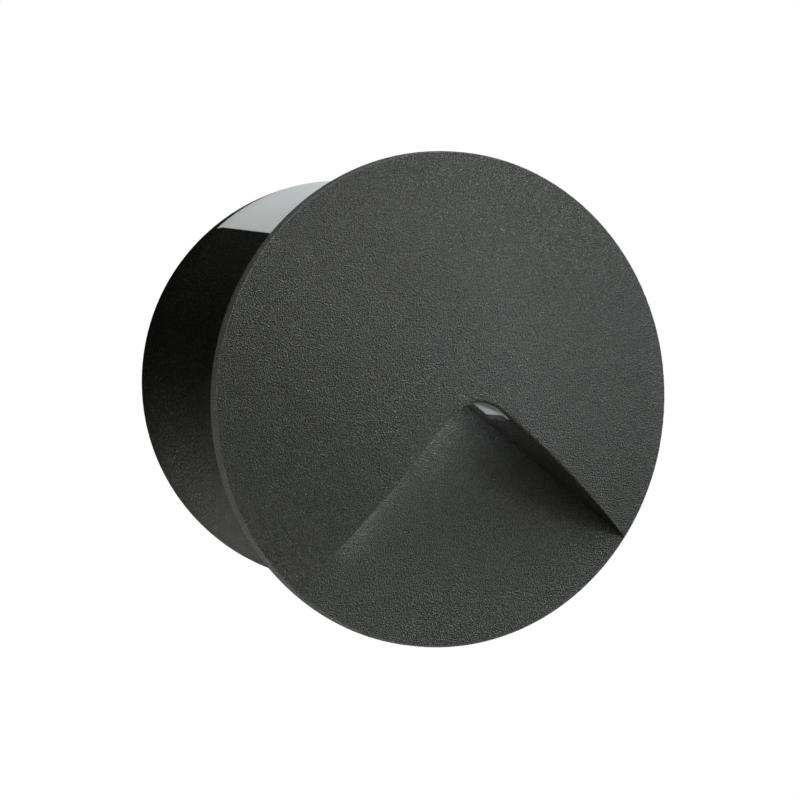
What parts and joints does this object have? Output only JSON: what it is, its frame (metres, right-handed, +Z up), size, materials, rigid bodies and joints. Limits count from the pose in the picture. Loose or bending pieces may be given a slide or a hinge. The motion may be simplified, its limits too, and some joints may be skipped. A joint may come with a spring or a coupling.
{
  "type": "wall light",
  "caption": "Round wall light: a domed disc with a lit V notch stands before a drum housing with a lit window on top.",
  "frame": {"origin": "centre of the wall plate's rear face, on the wall, midway between its two screw slots", "axes": "+Z up, -Y out of the wall along the housing's axis, +X to the right seen from the front"},
  "size_m": [0.12, 0.0929, 0.12],
  "materials": {
    "coated_casting": "anthracite powder coat, fine texture",
    "black_coated_casting": "black powder coat, fine texture",
    "frosted_diffuser": "frosted",
    "seal_rubber": "matt",
    "white_plastic": "matt",
    "black_plastic": "fine texture",
    "circuit_board": "white coated",
    "led_phosphor": "gloss",
    "bare_aluminium": "mill finish",
    "zinc_steel": "zinc plated",
    "stainless_screw": "plain",
    "brass": "plain",
    "lead_insulation": "smooth"
  },
  "bodies": {
    "wall_plate": {"wall_plate": "zinc_steel", "wall_gasket": "seal_rubber", "cable_grommet": "seal_rubber", "cable_clamp": "black_plastic", "clamp_screws": "stainless_screw"},
    "head": {"face_cover": "coated_casting", "housing": "black_coated_casting", "uplight_window": "frosted_diffuser", "slot_lens": "frosted_diffuser", "face_gasket": "seal_rubber", "slot_lens_seal": "seal_rubber", "window_seal": "seal_rubber", "lead_gland": "seal_rubber", "face_screw_washers": "seal_rubber", "thermal_pad": "seal_rubber", "lens_holder": "white_plastic", "uplight_reflector": "white_plastic", "terminal_block": "white_plastic", "driver": "black_plastic", "slot_board": "circuit_board", "uplight_board": "circuit_board", "slot_leds": "led_phosphor", "uplight_leds": "led_phosphor", "slot_heat_sink": "bare_aluminium", "led_bracket": "bare_aluminium", "slot_screws": "stainless_screw", "face_screws": "stainless_screw", "driver_screws": "stainless_screw", "bracket_screws": "stainless_screw", "board_screws": "stainless_screw", "terminal_fixings": "stainless_screw", "terminal_clamps": "brass", "terminal_screws": "brass", "earth_ring": "brass", "earth_washer": "brass", "earth_screw": "brass", "mains_leads": "lead_insulation", "led_leads": "lead_insulation", "slot_leads": "lead_insulation", "earth_lead": "lead_insulation"},
    "lock_screw": {"lock_screw": "stainless_screw"}
  },
  "joints": [
    {"name": "head_pull_off", "type": "slide", "parent": "wall_plate", "child": "head", "axis": [0, -1, 0], "range_m": [0, 0.04]},
    {"name": "lock_screw_travel", "type": "slide", "parent": "head", "child": "lock_screw", "axis": [0, 0, -1], "range_m": [0, 0.002]}
  ]
}
